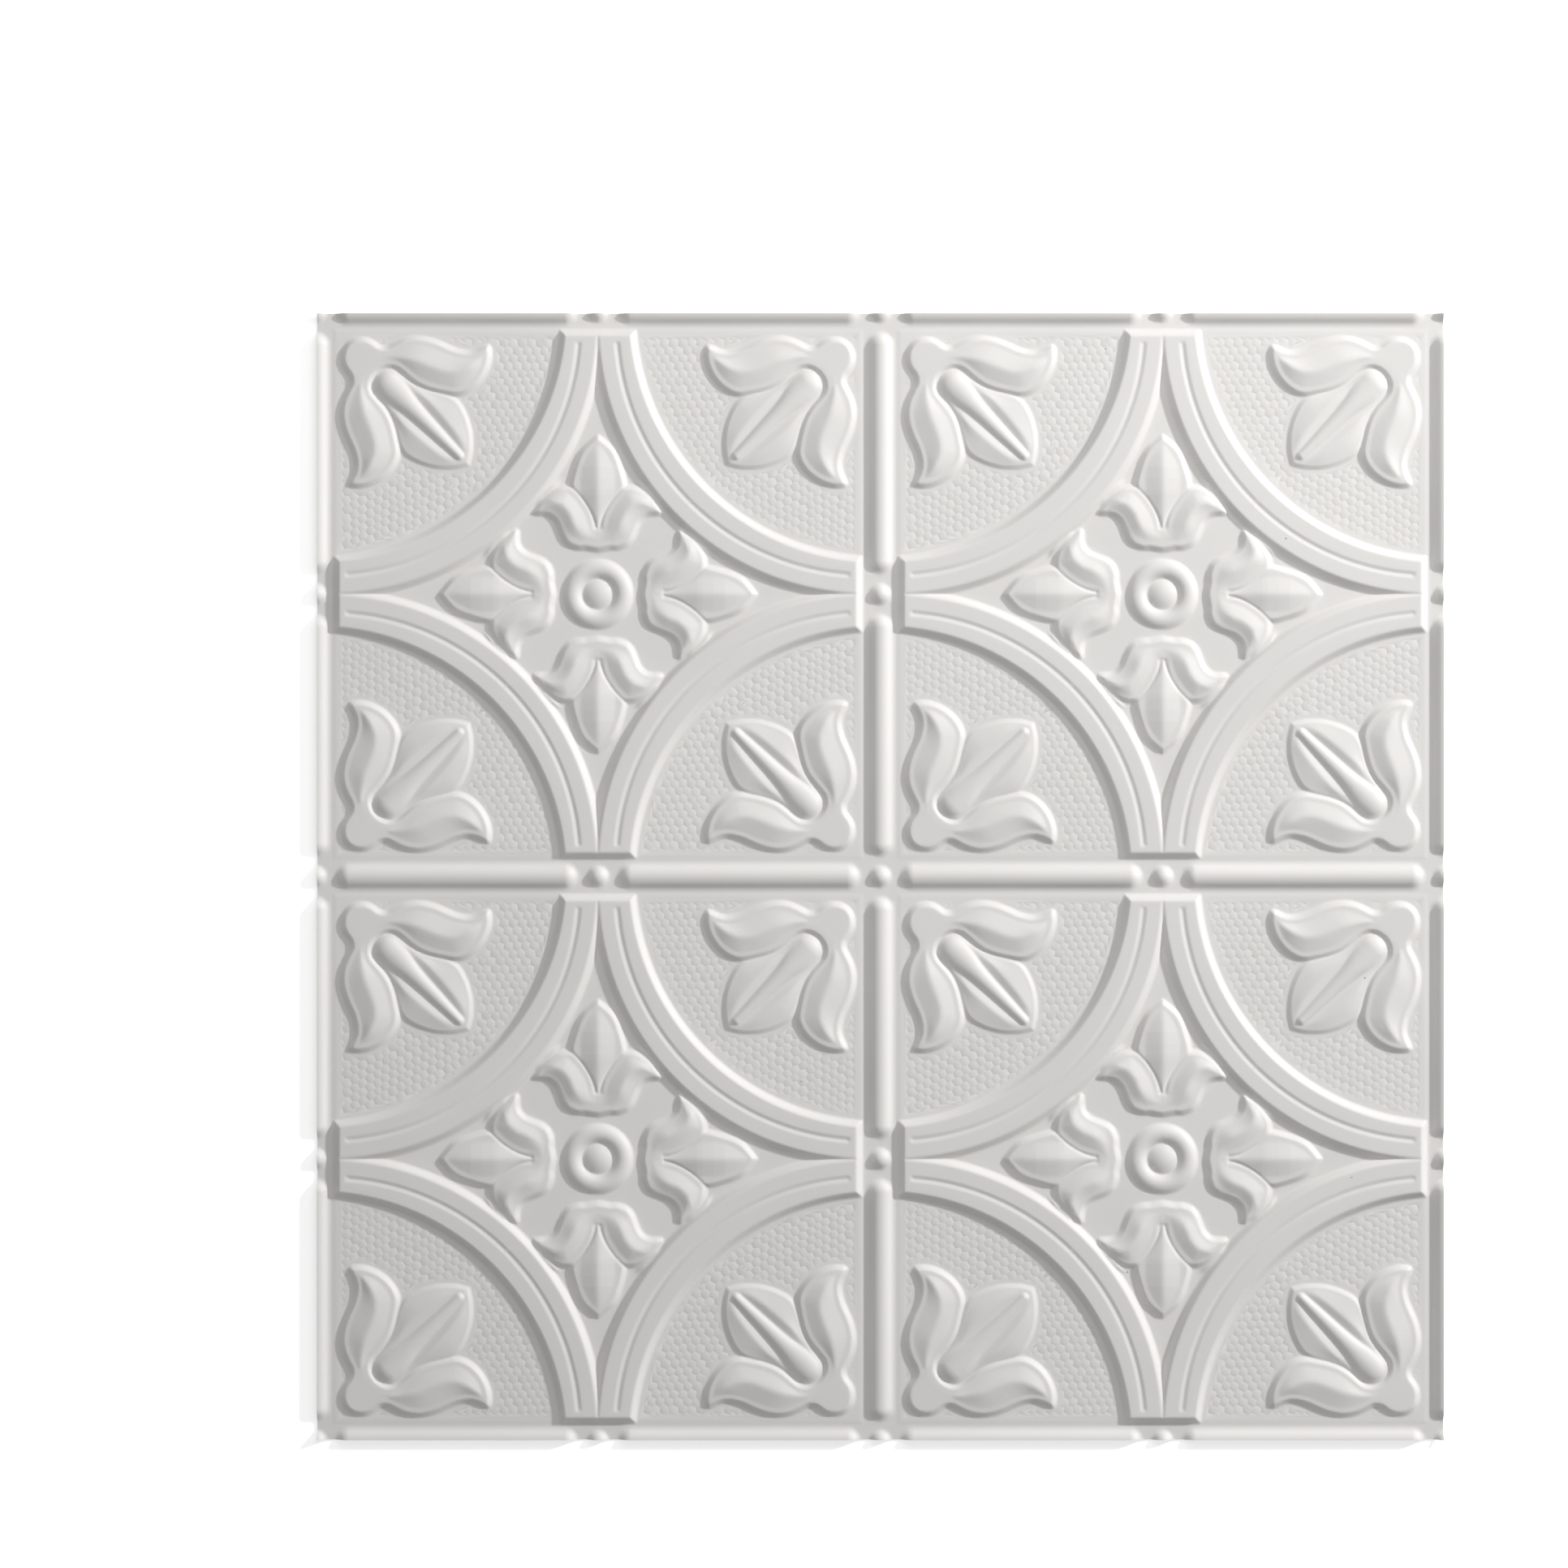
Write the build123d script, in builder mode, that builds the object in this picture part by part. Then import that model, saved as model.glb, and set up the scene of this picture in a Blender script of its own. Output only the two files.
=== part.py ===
from build123d import *
import os

# Pressed vinyl ceiling tile, in millimetres. It lies on its back: Z is up, the back
# is on Z = 0 and the tile is centred on X and Y. One thin sheet is drawn over raised
# forms, so each form that stands up on the face is a hollow of the same shape behind.

# Sheet
tile_size = 603.0           # side of the square tile, for a 24 in ceiling grid
sheet_thickness = 0.8       # measured straight up, so steep walls come out thinner
repeat_size = 301.5         # one repeat of the pattern, two along each side
wall_draft = 36.0           # lean of the pressed walls from the vertical, degrees

# Beads along the borders of each repeat, with a dot between beads
bead_width = 11.4
bead_height = 3.9
bead_shoulder = 2.5         # height at which a bead rounds over
bead_crown_draft = 58.0     # lean above the shoulder, degrees
bead_setback = 11.5         # from the middle of a dot to the foot of a bead
dot_radius = 5.7
dot_height = 3.6
dot_sides = 6

# Curved bands that part each corner field from the star field in the middle
band_height = 3.5
band_outer_radius = 130.0   # corner side, about the corner of the repeat
band_inner_radius = 147.0   # star side, about a point further in
band_inner_shift = 7.4      # of that point along both borders
band_setback = 9.2          # from the border to the foot of a band's end

# Rosette in the middle of each repeat: a ring with a boss in it
ring_outer_radius = 18.4
ring_inner_radius = 8.7
ring_height = 3.0
ring_sides = 12
boss_radius = 8.4
boss_height = 3.0
boss_sides = 6

# Fleur-de-lis, four around the rosette
fleur_reach = 86.5          # from the middle of the repeat to the tip
fleur_width = 72.0
fleur_height = 3.4
crown_height = 1.5          # of the bud's crest over the rest of the fleur
crown_draft = 77.0          # lean of the sides of the crest, degrees

# Leaf spray in each corner of the repeat, along its diagonal
spray_reach = 117.0         # from the corner of the repeat to the tip
spray_width = 108.0
spray_height = 3.4

# Half outlines of the ornaments from the tip, in shares of the reach and of half the width
fleur_bud = [(1.0, 0.0), (0.863, 0.285), (0.694, 0.444)]
fleur_petal = [(0.665, 0.653), (0.595, 0.861), (0.495, 1.0), (0.476, 0.792), (0.422, 0.644)]
fleur_base = [(0.301, 0.494), (0.258, 0.292)]
fleur_crown = [(0.936, 0.0), (0.717, 0.3), (0.42, 0.0)]
spray_spade = [(1.0, 0.0), (0.949, 0.157), (0.872, 0.296), (0.756, 0.381)]
spray_leaf = [(0.768, 0.611), (0.742, 0.852), (0.672, 1.0), (0.628, 0.857), (0.47, 0.652), (0.366, 0.435)]
spray_knob = [(0.329, 0.24), (0.205, 0.13)]

half = repeat_size / 2


def ornament(half_outline, reach, width, height, lean):
    """A form with leaning sides over a half outline and its mirror image, along X."""
    points = [(along * reach, aside * width / 2) for along, aside in half_outline]
    mirrored = [(x, -y) for x, y in reversed(points) if y > 0]
    with BuildPart() as form:
        with BuildSketch():
            with BuildLine():
                Polyline(*points, *mirrored, close=True)
            make_face()
        extrude(amount=height)
        draft(faces().filter_by(Axis.Z, reverse=True), Plane.XY, lean)
    return form.part


# Each raised form is made once, standing on Z = 0
with BuildPart() as bead:
    with BuildSketch():
        Rectangle(half - 2 * bead_setback, bead_width)
    extrude(amount=bead_shoulder, taper=wall_draft)
    extrude(faces().sort_by(Axis.Z)[-1], amount=bead_height - bead_shoulder, taper=bead_crown_draft)

with BuildPart() as dot:
    with BuildSketch():
        RegularPolygon(dot_radius, dot_sides, rotation=180 / dot_sides)
    extrude(amount=dot_height, taper=wall_draft)

with BuildPart() as band:
    with BuildSketch():
        with Locations((band_inner_shift, band_inner_shift)):
            Circle(band_inner_radius)
        Circle(band_outer_radius, mode=Mode.SUBTRACT)
        with Locations((band_setback, band_setback)):
            Rectangle(repeat_size, repeat_size, align=(Align.MIN, Align.MIN), mode=Mode.INTERSECT)
    extrude(amount=band_height, taper=wall_draft)

with BuildPart() as ring:
    with BuildSketch():
        RegularPolygon(ring_outer_radius, ring_sides)
        RegularPolygon(ring_inner_radius, ring_sides, mode=Mode.SUBTRACT)
    extrude(amount=ring_height)
    draft(faces().filter_by(Axis.Z, reverse=True), Plane.XY, wall_draft)

with BuildPart() as boss:
    with BuildSketch():
        RegularPolygon(boss_radius, boss_sides)
    extrude(amount=boss_height, taper=wall_draft)

with BuildPart() as fleur:
    add(ornament(fleur_bud + fleur_petal + fleur_base, fleur_reach, fleur_width, fleur_height, wall_draft))
    with Locations((0, 0, fleur_height)):
        add(ornament(fleur_crown, fleur_reach, fleur_width, crown_height, crown_draft))

spray = ornament(spray_spade + spray_leaf + spray_knob, spray_reach, spray_width, spray_height, wall_draft)

# All raised forms of the tile, in their places
with BuildPart() as relief:
    with GridLocations(repeat_size, repeat_size, 2, 2):
        add(ring.part)
        add(boss.part)
        with PolarLocations(0, 4):
            add(fleur.part)
            with Locations(Location((half, half, 0), (0, 0, 180))):
                add(band.part)
            with Locations(Location((half, half, 0), (0, 0, 225))):
                add(spray)
    with GridLocations(half, repeat_size, 4, 3):
        add(bead.part)
    with GridLocations(repeat_size, half, 3, 4):
        with Locations(Location((0, 0, 0), (0, 0, 90))):
            add(bead.part)
    with GridLocations(half, repeat_size, 5, 3):
        add(dot.part)
    with GridLocations(repeat_size, repeat_size, 3, 2):
        add(dot.part)

# The sheet follows the raised forms on its face and on its back, and is cut to its square
with BuildPart() as ceiling_tile:
    Box(2.2 * repeat_size, 2.2 * repeat_size, sheet_thickness, align=(Align.CENTER, Align.CENTER, Align.MIN))
    with Locations((0, 0, sheet_thickness)):
        add(relief.part)
    add(relief.part, mode=Mode.SUBTRACT)
    Box(tile_size, tile_size, repeat_size, mode=Mode.INTERSECT)

ceiling_tile.part.label = "ceiling_tile"

os.makedirs("parts", exist_ok=True)
export_step(ceiling_tile.part, "parts/ceiling_tile.step")
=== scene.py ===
import math

import bpy
import numpy as np
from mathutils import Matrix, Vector, geometry


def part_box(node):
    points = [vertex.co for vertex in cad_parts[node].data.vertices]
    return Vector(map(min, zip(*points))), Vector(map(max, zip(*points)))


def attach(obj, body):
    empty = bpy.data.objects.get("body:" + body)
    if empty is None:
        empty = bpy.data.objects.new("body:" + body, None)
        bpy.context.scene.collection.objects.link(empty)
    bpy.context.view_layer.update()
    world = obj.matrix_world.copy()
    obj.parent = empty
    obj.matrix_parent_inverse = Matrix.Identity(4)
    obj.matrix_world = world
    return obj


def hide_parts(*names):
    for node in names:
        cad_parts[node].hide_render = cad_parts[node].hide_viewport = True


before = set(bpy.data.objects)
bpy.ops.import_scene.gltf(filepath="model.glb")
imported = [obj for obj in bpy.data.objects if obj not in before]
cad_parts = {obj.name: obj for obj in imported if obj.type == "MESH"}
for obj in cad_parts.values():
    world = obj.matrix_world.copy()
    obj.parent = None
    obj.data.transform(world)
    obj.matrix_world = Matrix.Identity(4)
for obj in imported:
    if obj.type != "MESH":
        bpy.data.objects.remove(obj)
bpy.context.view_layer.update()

# The tile's relief is a height over its plan, in millimetres. Its pattern mirrors about
# every border and diagonal, so one eighth of a repeat is shaped and meshed, then laid out.
# In that eighth, a runs along a border from the corner of the repeat and b away from it.
MM = 0.001
SEED = 7
lowest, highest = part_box("ceiling_tile")
tile_size = (highest[0] - lowest[0]) / MM
half = 151.2                # half of a repeat; the sheet is cut a little inside the outer beads' crests
sheet_thickness = 0.8

# Mesh
cells = 600                 # of the height map, along each side of a quarter of a repeat
cell = half / cells
cut = 2 * half - tile_size / 2
softness = 0.5              # how far the corners of the moulded forms round over
front_triangles = 3850      # in one eighth, before the hammered field is filled in
back_triangles = 1150
pebble_step = 4.8           # between the pebbles of the hammered field
pebble_radius = 0.6 * pebble_step
pebble_height = 0.24
pebble_jitter = 0.2         # how far a pebble is off its place, as a share of the step
row_share = 0.866           # of the step, between rows of pebbles
pebble_snap = 0.42          # share of the step within which a pebble goes onto the diagonal
dip_snap = 0.35             # the same for the dips between pebbles
point_gap = 0.3             # least distance of a new point from the others, as a share of the step
hammered_share = 0.1        # of the field's strength, from which pebbles have points
plain_share = 0.02          # and under which the sheet is plain
side_snap = 0.1             # distance within which a point goes onto a side of the eighth
diagonal_snap = 0.12
normal_inset = 0.25         # how far from a face's corner to its middle the slope is taken

# Border: a channel with rounded beads and a dot between them
panel_rise = 0.2
channel_edge = (8.5, 11.0)
bead_turn = 5.0             # from the crest of a bead to its steepest place
bead_reach = 8.4            # and on to the end of its fillet
bead_height = 3.6
bead_start = 17.8           # from the middle of a dot to the end of a bead's crest
dot_turn = 4.4
dot_reach = 7.0
dot_height = 3.5
border_blend = 0.8          # fillet where the border meets the panel
field_by_band = (3, 1.5)    # where the hammered field fades out before the band,
field_by_border = (12, 15)  # inside the border
field_by_spray = (2.5, 1.0)  # and before a leaf spray

# Band about the corner of the repeat
band_height = 3.4
band_run = 4.3
band_outer_radius = 130.5
band_inner_radius = 147.2
band_inner_shift = 7.4
band_end = 9.0
groove_inset = 13.4
groove_half_width = 1.9
groove_depth = 0.65
groove_end = 15.6
groove_run_out = 2.0
groove_floor = 0.15         # half width of its flat bottom

# Rosette
ring_radius = 13.65
ring_turn = 4.5
ring_reach = 6.2
ring_height = 2.7
boss_turn = 7.6
boss_reach = 9.8
boss_height = 2.8
rosette_blend = 2.0

# Leaves and petals: a flat lip and a rounded ridge
lip_height = 2.4
lip_rounding = 0.6
ridge_height = 2.3
ridge_rounding = 1.5

# Fleur-de-lis: along its axis from the middle of the repeat, then sideways
bud_edge = [(86.5, 0), (84.2, 3.2), (79.2, 8.9), (74, 12), (68, 14), (62.5, 15.6), (58.6, 16.2),
            (55.4, 15.2), (52.6, 12.5), (49, 9.3), (45.2, 6.8), (41.4, 4.8), (37.6, 3.4), (34, 2.3),
            (32, 0)]
bud_crown = [(34, 0), (38, 1.6), (42, 3), (46, 4.8), (50, 6.9), (53, 8.5), (56, 9.4), (62, 9.7),
             (68, 8.8), (74, 5.8), (78, 3), (81, 0)]
bud_slope = 0.26
bud_run = 3.4
bud_crest_rounding = 2.0
bud_crown_rounding = 0.8
petal_front = [(36.4, 0), (38.7, 0.6), (42.6, 1.7), (46.8, 3.7), (50.9, 6.4), (55, 9.8), (58, 13.2),
               (59.3, 17), (58.8, 20.8), (57, 24.8), (54, 28.8), (50.5, 31.9), (47.4, 34.2),
               (45.2, 35.6), (43.2, 36)]
petal_hollow = [(43.2, 36), (41.7, 34.8), (41.1, 31.8), (41.1, 28.8), (40.2, 26), (37.5, 23.6),
                (33.5, 22), (29, 20.2), (25.3, 17.3), (23.4, 13.5), (22.6, 10), (22.7, 6.8), (22, 3.4),
                (21.5, 0)]
petal_ridge = [(30, 8), (34.2, 11.3), (38.7, 13.2), (43.4, 15.2), (47.4, 18.6), (49.4, 22.5), (50, 26.5),
               (48, 31)]
petal_lip = 4.6
petal_runs = (2.4, 4.0)     # of its wall beside the bud, and of the rest
petal_rise = (26, 38)       # where its ridge rises along the axis
petal_fade = (26, 36)       # and sinks to the tip, sideways
parting_start = 31.5        # of the slanting line between the bud's side of a petal and the rest
parting_slope = 0.62
parting_width = 2
fleur_blend = 0.4
fleur_side = 40             # half width of a strip that holds all of a fleur
fleur_span = (18, 88)       # and its ends, from the middle of the repeat
web_height = 1.4            # of the sheet where it bridges from a petal to the band
web_reach = 3.0
web_start = (45, 51)        # from the middle of the repeat

# Leaf spray: along the diagonal from the corner of the repeat, then sideways
leaf_inner = [(48, 0), (48.5, 3), (50, 5.8), (52.7, 7.6), (56.5, 8.2), (61, 8.4), (66, 9.2),
              (70.7, 10.8), (76, 13.6), (81.5, 17.2), (85.6, 20.3), (88.3, 24.2), (89.8, 29),
              (90.2, 34.5), (89.4, 40), (87.4, 45.5), (84.3, 50.3), (81, 53.2), (78.6, 54.2)]
leaf_outer = [(78.6, 54.2), (76.6, 52.9), (75.3, 50), (74.2, 47), (72.2, 44), (68.5, 41.2), (64.1, 39.1),
              (58, 36.8), (52.3, 33.9), (46.8, 29.6), (42.8, 24), (40.6, 18.4), (39.3, 14.5), (37, 12.6),
              (32.5, 11.8), (28.3, 10), (25.2, 7), (23.3, 3.5), (22.7, 0)]
leaf_ridge = [(46.5, 12), (52, 16.5), (58.7, 20.3), (65, 23), (70.5, 25.6), (75, 29.2), (78, 34.5),
              (79.3, 41), (78.6, 46)]
leaf_lip = 5.4
leaf_run = 3.6
leaf_rise = (38, 58)        # where its ridge rises along the diagonal
leaf_fade = (36, 52)        # and sinks to the tip, sideways
spade_edge = [(117.3, 0), (113.3, 6.4), (108.9, 11.2), (104.5, 14.8), (99, 18), (94, 20), (89.5, 21.2),
              (84.8, 21), (79.6, 18.8), (73.6, 15.2), (67.7, 12.4), (61.9, 10.8), (55.8, 10.1),
              (50.5, 8.8), (47.4, 5.9), (46, 2.9), (45.6, 0)]
spade_height = 1.5
spade_run = 3.0
lobe_ridge = [(64, 8.5), (75, 9), (85, 8.7), (95, 7.3), (104, 5), (109, 3)]
lobe_lip = 3.6
lobe_height = 1.7
lobe_by_club = (-1.5, 5.0)  # where a lobe rises beside the club
spade_blend = 0.6
club = [(55.2, 7), (60, 7.2), (64.5, 6.7), (70, 5.6), (75, 5), (80, 4.6), (90, 4.1), (100, 3.5),
        (109, 3)]
club_height = [(69, 4), (111, 3.2)]
club_drop = 2.7             # from the crest of the club to its side
club_spread = 1.15          # of its rounding, past its side
spray_blend = 0.5
spray_radius = 125          # about the corner of the repeat, that holds all of a spray


def spline(points, step=0.8):
    """A smooth line through the points, as an array."""
    p = np.array(points, float)
    p = np.vstack([2 * p[0] - p[1], p, 2 * p[-1] - p[-2]])
    line = [p[1]]
    for before, start, end, after in zip(p, p[1:], p[2:], p[3:]):
        count = max(1, round(np.linalg.norm(end - start) / step))
        for t in np.arange(1, count + 1) / count:
            bend = (2 * before - 5 * start + 4 * end - after) * t**2
            swing = (3 * start - before - 3 * end + after) * t**3
            line.append(0.5 * (2 * start + (end - before) * t + bend + swing))
    return np.array(line)


def distance(x, y, line):
    """From each point to the nearest place on the line."""
    nearest = np.full(x.shape, np.inf)
    for (x0, y0), (x1, y1) in zip(line, line[1:]):
        dx, dy = x1 - x0, y1 - y0
        along = np.clip(((x - x0) * dx + (y - y0) * dy) / (dx * dx + dy * dy), 0, 1)
        nearest = np.minimum(nearest, (x - x0 - along * dx) ** 2 + (y - y0 - along * dy) ** 2)
    return np.sqrt(nearest)


def depth_inside(x, y, edge):
    """Distance to the edge line, positive inside the shape that the line and its axis close in."""
    y = np.maximum(y, 1e-6)
    inside = np.zeros(x.shape, bool)
    for (x0, y0), (x1, y1) in zip(edge, np.roll(edge, -1, axis=0)):
        if y0 != y1:
            crossing = (y0 > y) != (y1 > y)
            inside ^= crossing & (x < x0 + (y - y0) * (x1 - x0) / (y1 - y0))
    return np.where(inside, 1, -1) * distance(x, y, edge)


def smoothstep(x, start, end):
    t = np.clip((x - start) / (end - start), 0, 1)
    return t * t * (3 - 2 * t)


def above(x, rounding):
    """What of x is over zero, with its corner rounded."""
    return (x + np.sqrt(x * x + rounding**2)) / 2


def rounded(d, turn, reach, height):
    """A section d from its crest line: an arc out to its steepest place, then a hollow arc to its foot."""
    angle = 2 * math.atan(height / reach)
    crown = turn / math.sin(angle)
    foot = (reach - turn) / math.sin(angle)
    top = height - crown + np.sqrt(np.maximum(crown**2 - d * d, 0))
    low = foot - np.sqrt(np.maximum(foot**2 - np.maximum(reach - d, 0) ** 2, 0))
    return np.where(d < turn, top, low)


def merge(p, q, blend):
    """The higher of two raised surfaces, with a fillet where they meet."""
    h = np.maximum(blend - np.abs(p - q), 0) / blend
    return np.maximum(p, q) + h * h * blend / 4 * np.clip(np.minimum(p, q) / blend, 0, 1)


def crowned(d, lip, ridge):
    """Share of the way, d inside an edge, from the flat lip up to the rounded ridge."""
    slope = above(d - lip, lip_rounding)
    return np.where(d > 0, slope / (slope + np.sqrt(ridge**2 + ridge_rounding)), 0)


edges = {
    "bud": spline(bud_edge),
    "petal": np.vstack([spline(petal_front)[:-1], spline(petal_hollow)]),
    "leaf": np.vstack([spline(leaf_inner)[:-1], spline(leaf_outer)]),
    "spade": spline(spade_edge),
}
ridges = {"petal": spline(petal_ridge), "leaf": spline(leaf_ridge), "spade": spline(lobe_ridge)}


def spray(u, v):
    """Leaf spray height, and the depth inside its outline."""
    leaf_depth = depth_inside(u, v, edges["leaf"])
    leaf = crowned(leaf_depth, leaf_lip, distance(u, v, ridges["leaf"]))
    leaf = leaf * ridge_height * smoothstep(u, *leaf_rise) * (1 - smoothstep(v, *leaf_fade))
    leaf = leaf + lip_height * smoothstep(leaf_depth, 0, leaf_run)

    along, width = np.array(club).T
    nearest = np.clip(u, along[0], along[-1])
    width = np.interp(nearest, along, width)
    from_club = np.hypot(u - nearest, v)
    share = np.minimum(from_club / width / club_spread, 1)
    bar = club_drop * (1 - np.sqrt(1 - share**2)) / (1 - math.sqrt(1 - club_spread**-2))
    bar = np.interp(u, *np.array(club_height).T) - bar

    spade_depth = depth_inside(u, v, edges["spade"])
    lobe = crowned(spade_depth, lobe_lip, distance(u, v, ridges["spade"]))
    lobe = lobe * lobe_height * smoothstep(from_club - width, *lobe_by_club)
    spade = lobe + spade_height * smoothstep(spade_depth, 0, spade_run)
    spade = merge(spade, np.where((share < 1) & (spade_depth > 0), bar, 0), spade_blend)
    return merge(leaf, spade, spray_blend), np.maximum(leaf_depth, spade_depth)


def fleur(p, q):
    """Fleur height, and the depth inside its petals."""
    bud_depth = depth_inside(p, q, edges["bud"])
    crown = np.interp(p, *np.array(bud_crown).T) - np.sqrt(q * q + bud_crest_rounding)
    crown = bud_slope * above(crown, bud_crown_rounding)
    bud = lip_height * smoothstep(bud_depth, 0, bud_run) + np.where(bud_depth > 0, crown, 0)

    depth = depth_inside(p, q, edges["petal"])
    petal = crowned(depth, petal_lip, distance(p, q, ridges["petal"]))
    petal = petal * ridge_height * smoothstep(p, *petal_rise) * (1 - smoothstep(q, *petal_fade))
    from_parting = q - parting_slope * (p - parting_start)
    beside_bud = 1 - smoothstep(from_parting, -parting_width, parting_width)
    run = petal_runs[1] + beside_bud * (petal_runs[0] - petal_runs[1])
    petal = petal + lip_height * smoothstep(depth, 0, run)
    return merge(bud, petal, fleur_blend), depth


def relief(a, b):
    """Height of the face over the lowest part of the sheet, and how much of it is hammered."""
    panel = panel_rise * smoothstep(b, *channel_edge)
    radius = np.hypot(a, b)
    from_inner = np.hypot(a - band_inner_shift, b - band_inner_shift)
    band_depth = np.minimum(radius - band_outer_radius, band_inner_radius - from_inner)
    band_depth = np.minimum(band_depth, b - band_end)
    band = band_height * smoothstep(band_depth, 0, band_run)
    from_groove = np.abs(from_inner - band_inner_radius + groove_inset)
    groove = 1 - smoothstep(from_groove, groove_floor, groove_half_width)
    band = band - groove_depth * groove * smoothstep(b, groove_end, groove_end + groove_run_out)

    spray_height = np.zeros(a.shape)
    spray_depth = np.full(a.shape, -50.0)
    near = radius < spray_radius
    u, v = (a[near] + b[near]) / math.sqrt(2), (a[near] - b[near]) / math.sqrt(2)
    spray_height[near], spray_depth[near] = spray(u, v)

    fleur_height = np.zeros(a.shape)
    petal_depth = np.full(a.shape, -50.0)
    near = (half - a < fleur_side) & (half - b > fleur_span[0]) & (half - b < fleur_span[1])
    fleur_height[near], petal_depth[near] = fleur(half - b[near], half - a[near])
    web = web_height * smoothstep(petal_depth, -web_reach, 0) * smoothstep(band_depth, -web_reach, 0)
    web = web * smoothstep(half - b, *web_start)

    from_middle = np.hypot(half - a, half - b)
    ring = rounded(np.abs(from_middle - ring_radius), ring_turn, ring_reach, ring_height)
    rosette = merge(ring, rounded(from_middle, boss_turn, boss_reach, boss_height), rosette_blend)

    from_bead = np.hypot(a - np.clip(a, bead_start, half - bead_start), b)
    bead = rounded(from_bead, bead_turn, bead_reach, bead_height)
    dots = rounded(np.minimum(radius, np.hypot(half - a, b)), dot_turn, dot_reach, dot_height)

    ornaments = np.maximum.reduce([spray_height, fleur_height, web, band, rosette])
    fade, end = field_by_band
    field = 1 - smoothstep(radius, band_outer_radius - fade, band_outer_radius - end)
    field = field * smoothstep(b, *field_by_border)
    fade, end = field_by_spray
    hammered = field * (1 - smoothstep(spray_depth, -fade, -end))
    return merge(np.maximum(bead, dots), panel + ornaments, border_blend), hammered


def softened(grid):
    """The map with its sharp corners rounded over. It mirrors about its sides."""
    reach = math.ceil(3 * softness / cell)
    weights = np.exp(-0.5 * (np.arange(-reach, reach + 1) * cell / softness) ** 2)
    for _ in range(2):
        wide = np.pad(grid, ((reach, reach), (0, 0)), "reflect")
        grid = sum(w * wide[k:k + cells + 1] for k, w in enumerate(weights / weights.sum())).T
    return grid


def sampled(grid, a, b):
    """The map's value at each place, blended from the four places around it."""
    x, y = np.clip(a / cell, 0, cells - 1e-9), np.clip(b / cell, 0, cells - 1e-9)
    i, j = x.astype(int), y.astype(int)
    x, y = x - i, y - j
    near = grid[i, j] * (1 - y) + grid[i, j + 1] * y
    far = grid[i + 1, j] * (1 - y) + grid[i + 1, j + 1] * y
    return near * (1 - x) + far * x


def pebble_centres():
    """Middles of the hammered field's pebbles: rows of a lattice, each a little off its place."""
    rng = np.random.default_rng(SEED)
    rows = np.arange(0, half + pebble_step, pebble_step * row_share)
    columns = np.arange(-pebble_step, half + pebble_step, pebble_step)
    middles = np.array([(x + (r % 2) * pebble_step / 2, y) for r, y in enumerate(rows) for x in columns])
    middles = middles + rng.uniform(-pebble_jitter, pebble_jitter, middles.shape) * pebble_step
    by_diagonal = np.abs(middles[:, 0] - middles[:, 1]) < pebble_snap * pebble_step
    middles[by_diagonal] = middles[by_diagonal].mean(axis=1, keepdims=True)
    return middles


def pebble_map():
    """Share of a pebble's height at each place, as low domes."""
    grid = np.zeros((cells + 1, cells + 1))
    reach = pebble_radius
    for x, y in centres:
        i = np.arange(max(0, math.ceil((x - reach) / cell)), min(cells, math.floor((x + reach) / cell)) + 1)
        j = np.arange(max(0, math.ceil((y - reach) / cell)), min(cells, math.floor((y + reach) / cell)) + 1)
        i, j = np.ix_(i, j)
        dome = 1 - ((i * cell - x) ** 2 + (j * cell - y) ** 2) / reach**2
        grid[i, j] = np.maximum(grid[i, j], dome)
    return np.maximum(grid, grid.T)


# Maps over a quarter of a repeat: heights of the back, how much is hammered, and heights of the face
i, j = np.tril_indices(cells + 1)
back_map = np.zeros((cells + 1, cells + 1))
field_map = np.zeros((cells + 1, cells + 1))
back_map[i, j], field_map[i, j] = relief(i * cell, j * cell)
back_map[j, i], field_map[j, i] = back_map[i, j], field_map[i, j]
back_map = softened(back_map)
centres = pebble_centres()
face_map = back_map + field_map * pebble_height * pebble_map()


def thinned(triangles):
    """Points and faces of one eighth, meshed as a dense grid and thinned where the relief is plain."""
    index = np.full((cells + 1, cells + 1), -1)
    i, j = np.tril_indices(cells + 1)
    index[i, j] = np.arange(len(i))
    lower = np.stack([index[:-1, :-1], index[1:, :-1], index[1:, 1:]], -1).reshape(-1, 3)
    upper = np.stack([index[:-1, :-1], index[1:, 1:], index[:-1, 1:]], -1).reshape(-1, 3)
    faces = np.vstack([lower, upper])
    faces = faces[(faces >= 0).all(axis=1)]
    mesh = bpy.data.meshes.new("dense")
    mesh.from_pydata(np.stack([i * cell, j * cell, back_map[i, j]], -1), [], faces)
    dense = bpy.data.objects.new("dense", mesh)
    bpy.context.scene.collection.objects.link(dense)
    modifier = dense.modifiers.new("thin", "DECIMATE")
    modifier.ratio = triangles / len(faces)
    thin = dense.evaluated_get(bpy.context.evaluated_depsgraph_get()).to_mesh()
    points = np.empty(3 * len(thin.vertices))
    thin.vertices.foreach_get("co", points)
    points = points.reshape(-1, 3)[:, :2]
    faces = np.array([p.vertices[:] for p in thin.polygons])
    bpy.data.objects.remove(dense)
    bpy.data.meshes.remove(mesh)
    # Points by the sides of the eighth go onto them, so that its mirror images meet
    points[points[:, 1] < side_snap, 1] = 0
    points[points[:, 0] > half - side_snap, 0] = half
    by_diagonal = np.abs(points[:, 0] - points[:, 1]) < diagonal_snap
    points[by_diagonal] = points[by_diagonal].mean(axis=1, keepdims=True)
    for corner in ((0, 0), (half, 0), (half, half)):
        points[np.argmin(np.hypot(*(points - corner).T))] = corner
    return points, faces


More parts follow.
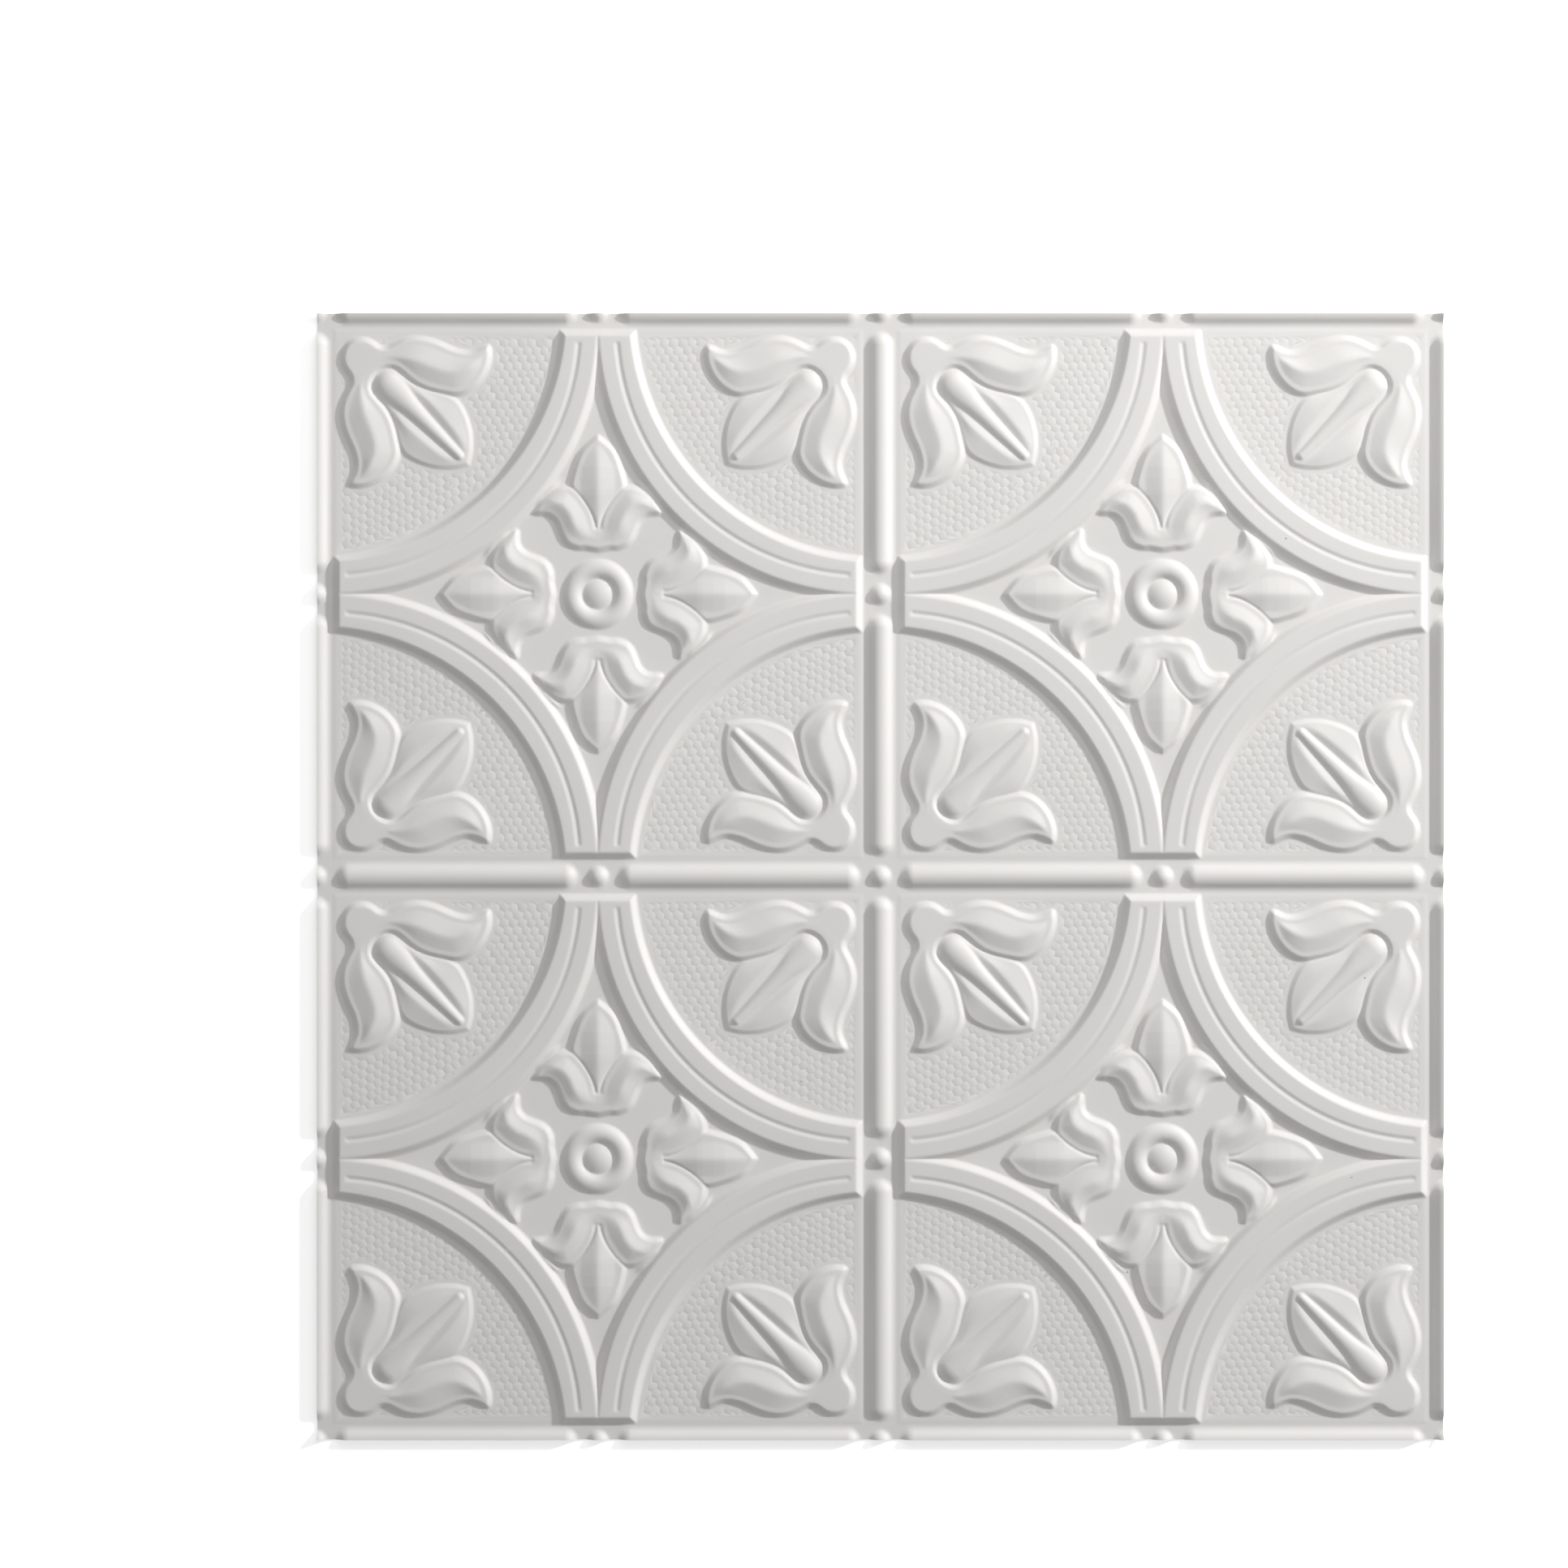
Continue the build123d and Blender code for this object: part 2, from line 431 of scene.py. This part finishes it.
def pebble_points():
    """A point on each pebble of the hammered field and one in each dip between."""
    triples = np.array(geometry.delaunay_2d_cdt([Vector(c) for c in centres], [], [], 0, 1e-5)[2])
    new = np.vstack([centres, centres[triples].mean(axis=1)])
    by_diagonal = np.abs(new[:, 0] - new[:, 1]) < dip_snap * pebble_step
    new[by_diagonal] = new[by_diagonal].mean(axis=1, keepdims=True)
    new = new[(new[:, 1] > 1) & (new[:, 1] <= new[:, 0]) & (new[:, 0] < half - 1)]
    return new[sampled(field_map, *new.T) > hammered_share]


def refilled(points, faces, field, new):
    """The same mesh with new points for its own in the field, and with an edge along the sheet's cut."""
    outside = sampled(field, *points.T) < plain_share
    plan = list(points[outside])
    for spot in new:
        if np.min(np.hypot(*(np.array(plan) - spot).T)) > point_gap * pebble_step:
            plan.append(spot)
    sides = np.unique(np.sort(faces[:, [0, 1, 1, 2, 2, 0]].reshape(-1, 2), axis=1), axis=0)
    share = np.linspace(0, 1, 9)[:, None, None]
    along = points[sides[:, 0]] * (1 - share) + points[sides[:, 1]] * share
    clear = (sampled(field, along[..., 0], along[..., 1]) < plain_share).all(axis=0)
    sides = (np.cumsum(outside) - 1)[sides[clear]].tolist()
    sides += [(len(plan), len(plan) + 1), (len(plan) + 1, len(plan) + 2)]
    plan += [(cut, 0), (cut, cut), (half, cut)]
    found = geometry.delaunay_2d_cdt([Vector(p) for p in plan], sides, [], 0, 1e-5)
    return np.array([v[:] for v in found[0]]), np.array(found[2])


def corner_normals(points, faces, field):
    """Normals of the relief a little inside each corner of a face, with those of its pebble."""
    slope_a, slope_b = np.gradient(back_map, cell)
    slope_a[[0, -1]] = 0
    slope_b[:, [0, -1]] = 0
    corners = points[faces]
    middles = corners.mean(axis=1)
    inset = (1 - normal_inset) * corners + normal_inset * middles[:, None]
    a, b = np.moveaxis(inset, 2, 0)
    slopes = np.stack([sampled(slope_a, a, b), sampled(slope_b, a, b)], -1)
    nearest = [np.argmin(((centres - middle) ** 2).sum(axis=1)) for middle in middles]
    from_pebble = corners - centres[nearest][:, None]
    far = np.maximum(np.linalg.norm(from_pebble, axis=2, keepdims=True) / pebble_radius, 1)
    hammered = sampled(field, corners[..., 0], corners[..., 1])[..., None]
    slopes = slopes - hammered * 2 * pebble_height / pebble_radius**2 * from_pebble / far
    return np.dstack([-slopes, np.ones(slopes.shape[:2])])


def laid_out(points, faces, grid, field):
    """The eighth's mesh repeated over the whole tile by its mirror images, and welded."""
    z = sampled(grid, points[:, 0], points[:, 1])
    normals = corner_normals(points, faces, field)
    corners = [(-2 * half, 1), (0, -1), (0, 1), (2 * half, -1)]
    all_points, all_faces, all_normals = [], [], []
    for x0, sx in corners:
        for y0, sy in corners:
            for order in ((0, 1, 2), (1, 0, 2)):
                plan = points[:, order[:2]]
                turned = normals[:, :, order] * (sx, sy, 1)
                back_to_front = sx * sy * (1 if order[0] == 0 else -1) < 0
                new_faces = faces[:, ::-1] if back_to_front else faces
                all_faces.append(new_faces + len(points) * len(all_points))
                all_normals.append(turned[:, ::-1] if back_to_front else turned)
                all_points.append(np.column_stack([x0 + sx * plan[:, 0], y0 + sy * plan[:, 1], z]))
    all_points = np.vstack(all_points)
    plan = np.round(all_points[:, :2], 3)
    _, first, weld = np.unique(plan, axis=0, return_index=True, return_inverse=True)
    points, faces, normals = all_points[first], weld.ravel()[np.vstack(all_faces)], np.vstack(all_normals)
    inside = (np.abs(points[faces, :2].mean(axis=1)) < tile_size / 2).all(axis=1)
    used, faces = np.unique(faces[inside], return_inverse=True)
    return points[used], faces.reshape(-1, 3), normals[inside]


def rim(front, back):
    """Faces of the cut edge, between the rims of the face and the back."""
    faces = []
    for axis, side in ((0, 1), (0, -1), (1, 1), (1, -1)):
        turn = side if axis == 0 else -side
        loops = []
        for points in (front, back):
            on_side = np.flatnonzero(np.abs(points[:, axis] - side * tile_size / 2) < 1e-3)
            loops.append(on_side[np.argsort(turn * points[on_side, 1 - axis])])
        top, low = loops
        i = j = 0
        while i < len(top) - 1 or j < len(low) - 1:
            ahead = i < len(top) - 1 and (
                j == len(low) - 1
                or turn * front[top[i + 1], 1 - axis] <= turn * back[low[j + 1], 1 - axis]
            )
            if ahead:
                faces.append((top[i], len(front) + low[j], top[i + 1]))
                i += 1
            else:
                faces.append((top[i], len(front) + low[j], len(front) + low[j + 1]))
                j += 1
    return np.array(faces)


def tile_mesh():
    """The whole sheet: its face, its back and its cut edge, with normals that follow the relief."""
    front = refilled(*thinned(front_triangles), field_map, pebble_points())
    front, front_faces, front_normals = laid_out(*front, face_map, field_map)
    back = refilled(*thinned(back_triangles), 0 * field_map, [])
    back, back_faces, back_normals = laid_out(*back, back_map, 0 * field_map)
    front[:, 2] += sheet_thickness
    rim_faces = rim(front, back)
    verts = np.vstack([front, back]) * MM
    faces = np.vstack([front_faces, back_faces[:, ::-1] + len(front), rim_faces])
    start, middle, end = verts[rim_faces].transpose(1, 0, 2)
    rim_normals = np.repeat(np.cross(middle - start, end - start)[:, None], 3, axis=1)
    normals = np.vstack([front_normals, -back_normals[:, ::-1], rim_normals]).reshape(-1, 3)
    normals /= np.linalg.norm(normals, axis=1, keepdims=True)
    mesh = bpy.data.meshes.new("ceiling_tile_visual")
    mesh.from_pydata(verts, [], faces)
    mesh.polygons.foreach_set("use_smooth", np.ones(len(faces), bool))
    mesh.normals_split_custom_set(normals)
    mesh.update()
    return mesh


vinyl_tones = ((0.815, 0.798, 0.776, 1), (0.845, 0.827, 0.805, 1))
dust_colour = (0.42, 0.41, 0.39, 1)


def vinyl():
    """White matte vinyl with a slight unevenness and a little dust."""
    material = bpy.data.materials.new("vinyl")
    material.use_nodes = True
    nodes, links = material.node_tree.nodes, material.node_tree.links
    shader = nodes["Principled BSDF"]
    shader.inputs["Roughness"].default_value = 0.5
    shader.inputs["Specular IOR Level"].default_value = 0.25
    place = nodes.new("ShaderNodeTexCoord")
    cloud = nodes.new("ShaderNodeTexNoise")
    cloud.inputs["Scale"].default_value = 9
    cloud.inputs["Detail"].default_value = 4
    links.new(place.outputs["Object"], cloud.inputs["Vector"])
    tone = nodes.new("ShaderNodeValToRGB")
    tone.color_ramp.elements[0].position = 0.3
    tone.color_ramp.elements[0].color = vinyl_tones[0]
    tone.color_ramp.elements[1].position = 0.7
    tone.color_ramp.elements[1].color = vinyl_tones[1]
    links.new(cloud.outputs["Fac"], tone.inputs["Fac"])
    dust = nodes.new("ShaderNodeTexVoronoi")
    dust.inputs["Scale"].default_value = 22
    links.new(place.outputs["Object"], dust.inputs["Vector"])
    speck = nodes.new("ShaderNodeMath")
    speck.operation = "LESS_THAN"
    speck.inputs[1].default_value = 0.012
    links.new(dust.outputs["Distance"], speck.inputs[0])
    mix = nodes.new("ShaderNodeMix")
    mix.data_type = "RGBA"
    mix.inputs["B"].default_value = dust_colour
    links.new(speck.outputs[0], mix.inputs["Factor"])
    links.new(tone.outputs["Color"], mix.inputs["A"])
    links.new(mix.outputs["Result"], shader.inputs["Base Color"])
    grain = nodes.new("ShaderNodeTexNoise")
    grain.inputs["Scale"].default_value = 700
    grain.inputs["Detail"].default_value = 3
    links.new(place.outputs["Object"], grain.inputs["Vector"])
    bump = nodes.new("ShaderNodeBump")
    bump.inputs["Strength"].default_value = 0.15
    bump.inputs["Distance"].default_value = 0.0002
    links.new(grain.outputs["Fac"], bump.inputs["Height"])
    links.new(bump.outputs["Normal"], shader.inputs["Normal"])
    return material


tile = bpy.data.objects.new("ceiling_tile_visual", tile_mesh())
bpy.context.scene.collection.objects.link(tile)
tile.data.materials.append(vinyl())
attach(tile, "root")
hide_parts("ceiling_tile")

# White floor that keeps the tile's shadow
floor_reach = 30
floor_glow = 0.56
floor_mesh = bpy.data.meshes.new("floor")
floor_corners = [(x * floor_reach, y * floor_reach, 0) for x, y in ((-1, -1), (1, -1), (1, 1), (-1, 1))]
floor_mesh.from_pydata(floor_corners, [], [(0, 1, 2, 3)])
floor = bpy.data.objects.new("floor", floor_mesh)
bpy.context.scene.collection.objects.link(floor)
floor_material = bpy.data.materials.new("floor")
floor_material.use_nodes = True
floor_nodes, floor_links = floor_material.node_tree.nodes, floor_material.node_tree.links
floor_shader = floor_nodes["Principled BSDF"]
floor_shader.inputs["Base Color"].default_value = (0.85, 0.85, 0.85, 1)
floor_shader.inputs["Roughness"].default_value = 0.9
floor_shader.inputs["Emission Color"].default_value = (1, 1, 1, 1)
ray = floor_nodes.new("ShaderNodeLightPath")
seen = ray.outputs["Is Camera Ray"]
for kind in ("Is Glossy Ray", "Is Transmission Ray"):
    either = floor_nodes.new("ShaderNodeMath")
    either.operation = "MAXIMUM"
    floor_links.new(seen, either.inputs[0])
    floor_links.new(ray.outputs[kind], either.inputs[1])
    seen = either.outputs[0]
glow = floor_nodes.new("ShaderNodeMath")
glow.operation = "MULTIPLY"
glow.inputs[1].default_value = floor_glow
floor_links.new(seen, glow.inputs[0])
floor_links.new(glow.outputs[0], floor_shader.inputs["Emission Strength"])
floor_mesh.materials.append(floor_material)

# A low key light from the right and a wide soft one from beyond the top, over a dim even sky
sky_strength = 0.3
key_azimuth, key_elevation, key_distance = math.radians(28), math.radians(23), 3.2
key_size, key_power = 0.23, 74
fill_place = Vector((0.23, 0.72, 0.8))
fill_size, fill_power = 0.9, 3.5
world = bpy.data.worlds.new("sky")
world.use_nodes = True
world.node_tree.nodes["Background"].inputs["Color"].default_value = (1, 1, 1, 1)
world.node_tree.nodes["Background"].inputs["Strength"].default_value = sky_strength
bpy.context.scene.world = world


def lamp(name, place, size, power):
    """A round lamp that faces the middle of the tile."""
    light = bpy.data.lights.new(name, "AREA")
    light.shape = "DISK"
    light.size = size
    light.energy = power
    holder = bpy.data.objects.new(name, light)
    holder.location = place
    holder.visible_camera = False
    holder.rotation_euler = place.to_track_quat("Z", "Y").to_euler()
    bpy.context.scene.collection.objects.link(holder)


key_direction = Vector((
    math.cos(key_elevation) * math.cos(key_azimuth),
    math.cos(key_elevation) * math.sin(key_azimuth),
    math.sin(key_elevation),
))
lamp("key", key_direction * key_distance, key_size, key_power)
lamp("fill", fill_place, fill_size, fill_power)

# Camera straight above, off the tile's middle as in the photo
picture_size = 1932
tile_pixels = 1386.5
tile_middle = (1084.5, 1080)
pixel = tile_size * MM / tile_pixels
camera_height = 2.5
sensor_width = 36
camera_data = bpy.data.cameras.new("camera")
camera_data.sensor_width = sensor_width
camera_data.lens = sensor_width * camera_height / (picture_size * pixel)
camera = bpy.data.objects.new("camera", camera_data)
camera.location = (
    (picture_size / 2 - tile_middle[0]) * pixel,
    (tile_middle[1] - picture_size / 2) * pixel,
    camera_height,
)
bpy.context.scene.collection.objects.link(camera)
bpy.context.scene.camera = camera
bpy.context.scene.view_settings.view_transform = "Standard"
